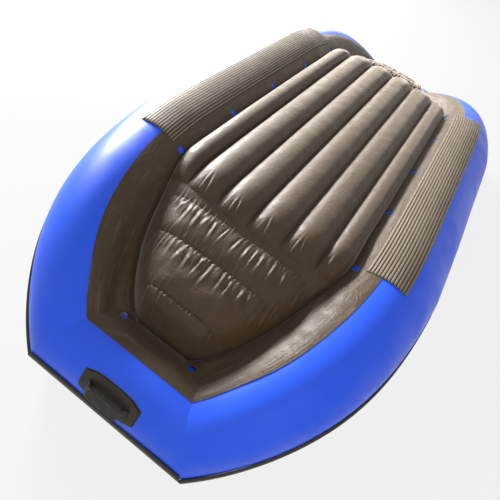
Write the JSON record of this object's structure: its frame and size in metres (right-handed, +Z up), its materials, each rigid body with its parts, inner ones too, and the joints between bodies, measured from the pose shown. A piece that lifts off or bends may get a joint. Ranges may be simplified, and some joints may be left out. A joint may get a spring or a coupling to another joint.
{
  "type": "inflatable river raft",
  "caption": "Blue inflatable raft lying bottom side up, with tapered tubes, a ribbed air floor, wear pads, a rub strake and end handles.",
  "frame": {"origin": "On the ground below the middle of the raft, which lies bottom side up on its bow and stern tubes.", "axes": "+X to one side, across the raft; +Y from the bow to the stern, along its length; +Z up, out of the raft's bottom as it lies."},
  "size_m": [1.6136, 3.3098, 0.5902],
  "materials": {
    "blue_fabric": "glossy blue coated fabric",
    "dark_fabric": "satin dark grey-brown coated fabric",
    "pad_rubber": "matt dark ribbed rubber",
    "black_rubber": "matt near-black rubber",
    "inner_fabric": "uncoated grey fabric",
    "valve_plastic": "moulded black plastic",
    "spring_steel": "drawn wire"
  },
  "bodies": {
    "hull": {"bow_tube": "blue_fabric", "bow_quarter_right": "blue_fabric", "bow_quarter_left": "blue_fabric", "bow_baffle": "inner_fabric", "bow_wrap": "dark_fabric", "bow_strake": "black_rubber", "bow_handle": "black_rubber", "bow_handle_patch": "black_rubber", "bow_cross_web_1": "inner_fabric", "bow_cross_web_2": "inner_fabric", "bow_cross_web_3": "inner_fabric", "stern_tube": "blue_fabric", "stern_quarter_right": "blue_fabric", "stern_quarter_left": "blue_fabric", "stern_baffle": "inner_fabric", "stern_wrap": "dark_fabric", "stern_strake": "black_rubber", "stern_handle": "black_rubber", "stern_handle_patch": "black_rubber", "stern_cross_web_1": "inner_fabric", "stern_cross_web_2": "inner_fabric", "stern_cross_web_3": "inner_fabric", "side_tube_right": "blue_fabric", "side_baffle_right": "inner_fabric", "side_wrap_right": "dark_fabric", "wear_pad_right": "pad_rubber", "side_strake_right": "black_rubber", "side_tube_left": "blue_fabric", "side_baffle_left": "inner_fabric", "side_wrap_left": "dark_fabric", "wear_pad_left": "pad_rubber", "side_strake_left": "black_rubber", "floor_underside": "dark_fabric", "floor_deck": "dark_fabric", "floor_web_1": "inner_fabric", "floor_web_2": "inner_fabric", "floor_web_3": "inner_fabric", "floor_web_4": "inner_fabric", "floor_web_5": "inner_fabric", "bow_right_valve_body": "valve_plastic", "bow_right_valve_spring": "spring_steel", "bow_left_valve_body": "valve_plastic", "bow_left_valve_spring": "spring_steel", "stern_right_valve_body": "valve_plastic", "stern_right_valve_spring": "spring_steel", "stern_left_valve_body": "valve_plastic", "stern_left_valve_spring": "spring_steel", "floor_valve_body": "valve_plastic", "floor_valve_spring": "spring_steel"},
    "bow_right_button": {"bow_right_valve_button": "valve_plastic"},
    "bow_right_cap": {"bow_right_valve_cap": "valve_plastic"},
    "bow_left_button": {"bow_left_valve_button": "valve_plastic"},
    "bow_left_cap": {"bow_left_valve_cap": "valve_plastic"},
    "stern_right_button": {"stern_right_valve_button": "valve_plastic"},
    "stern_right_cap": {"stern_right_valve_cap": "valve_plastic"},
    "stern_left_button": {"stern_left_valve_button": "valve_plastic"},
    "stern_left_cap": {"stern_left_valve_cap": "valve_plastic"},
    "floor_button": {"floor_valve_button": "valve_plastic"},
    "floor_cap": {"floor_valve_cap": "valve_plastic"}
  },
  "joints": [
    {"name": "bow_right_button_push", "type": "slide", "parent": "hull", "child": "bow_right_button", "axis": [0, 0, 1], "range_m": [0, 0.005], "stiffness_N_per_m": 400, "springref_m": -0.003, "deforming": ["bow_right_valve_spring"]},
    {"name": "bow_right_cap_off", "type": "slide", "parent": "hull", "child": "bow_right_cap", "axis": [0, 0, -1], "range_m": [0, 0.03]},
    {"name": "bow_left_button_push", "type": "slide", "parent": "hull", "child": "bow_left_button", "axis": [0, 0, 1], "range_m": [0, 0.005], "stiffness_N_per_m": 400, "springref_m": -0.003, "deforming": ["bow_left_valve_spring"]},
    {"name": "bow_left_cap_off", "type": "slide", "parent": "hull", "child": "bow_left_cap", "axis": [0, 0, -1], "range_m": [0, 0.03]},
    {"name": "stern_right_button_push", "type": "slide", "parent": "hull", "child": "stern_right_button", "axis": [0, 0, 1], "range_m": [0, 0.005], "stiffness_N_per_m": 400, "springref_m": -0.003, "deforming": ["stern_right_valve_spring"]},
    {"name": "stern_right_cap_off", "type": "slide", "parent": "hull", "child": "stern_right_cap", "axis": [0, 0, -1], "range_m": [0, 0.03]},
    {"name": "stern_left_button_push", "type": "slide", "parent": "hull", "child": "stern_left_button", "axis": [0, 0, 1], "range_m": [0, 0.005], "stiffness_N_per_m": 400, "springref_m": -0.003, "deforming": ["stern_left_valve_spring"]},
    {"name": "stern_left_cap_off", "type": "slide", "parent": "hull", "child": "stern_left_cap", "axis": [0, 0, -1], "range_m": [0, 0.03]},
    {"name": "floor_button_push", "type": "slide", "parent": "hull", "child": "floor_button", "axis": [0, 0, 1], "range_m": [0, 0.005], "stiffness_N_per_m": 400, "springref_m": -0.003, "deforming": ["floor_valve_spring"]},
    {"name": "floor_cap_off", "type": "slide", "parent": "hull", "child": "floor_cap", "axis": [0, 0, -1], "range_m": [0, 0.03]}
  ]
}
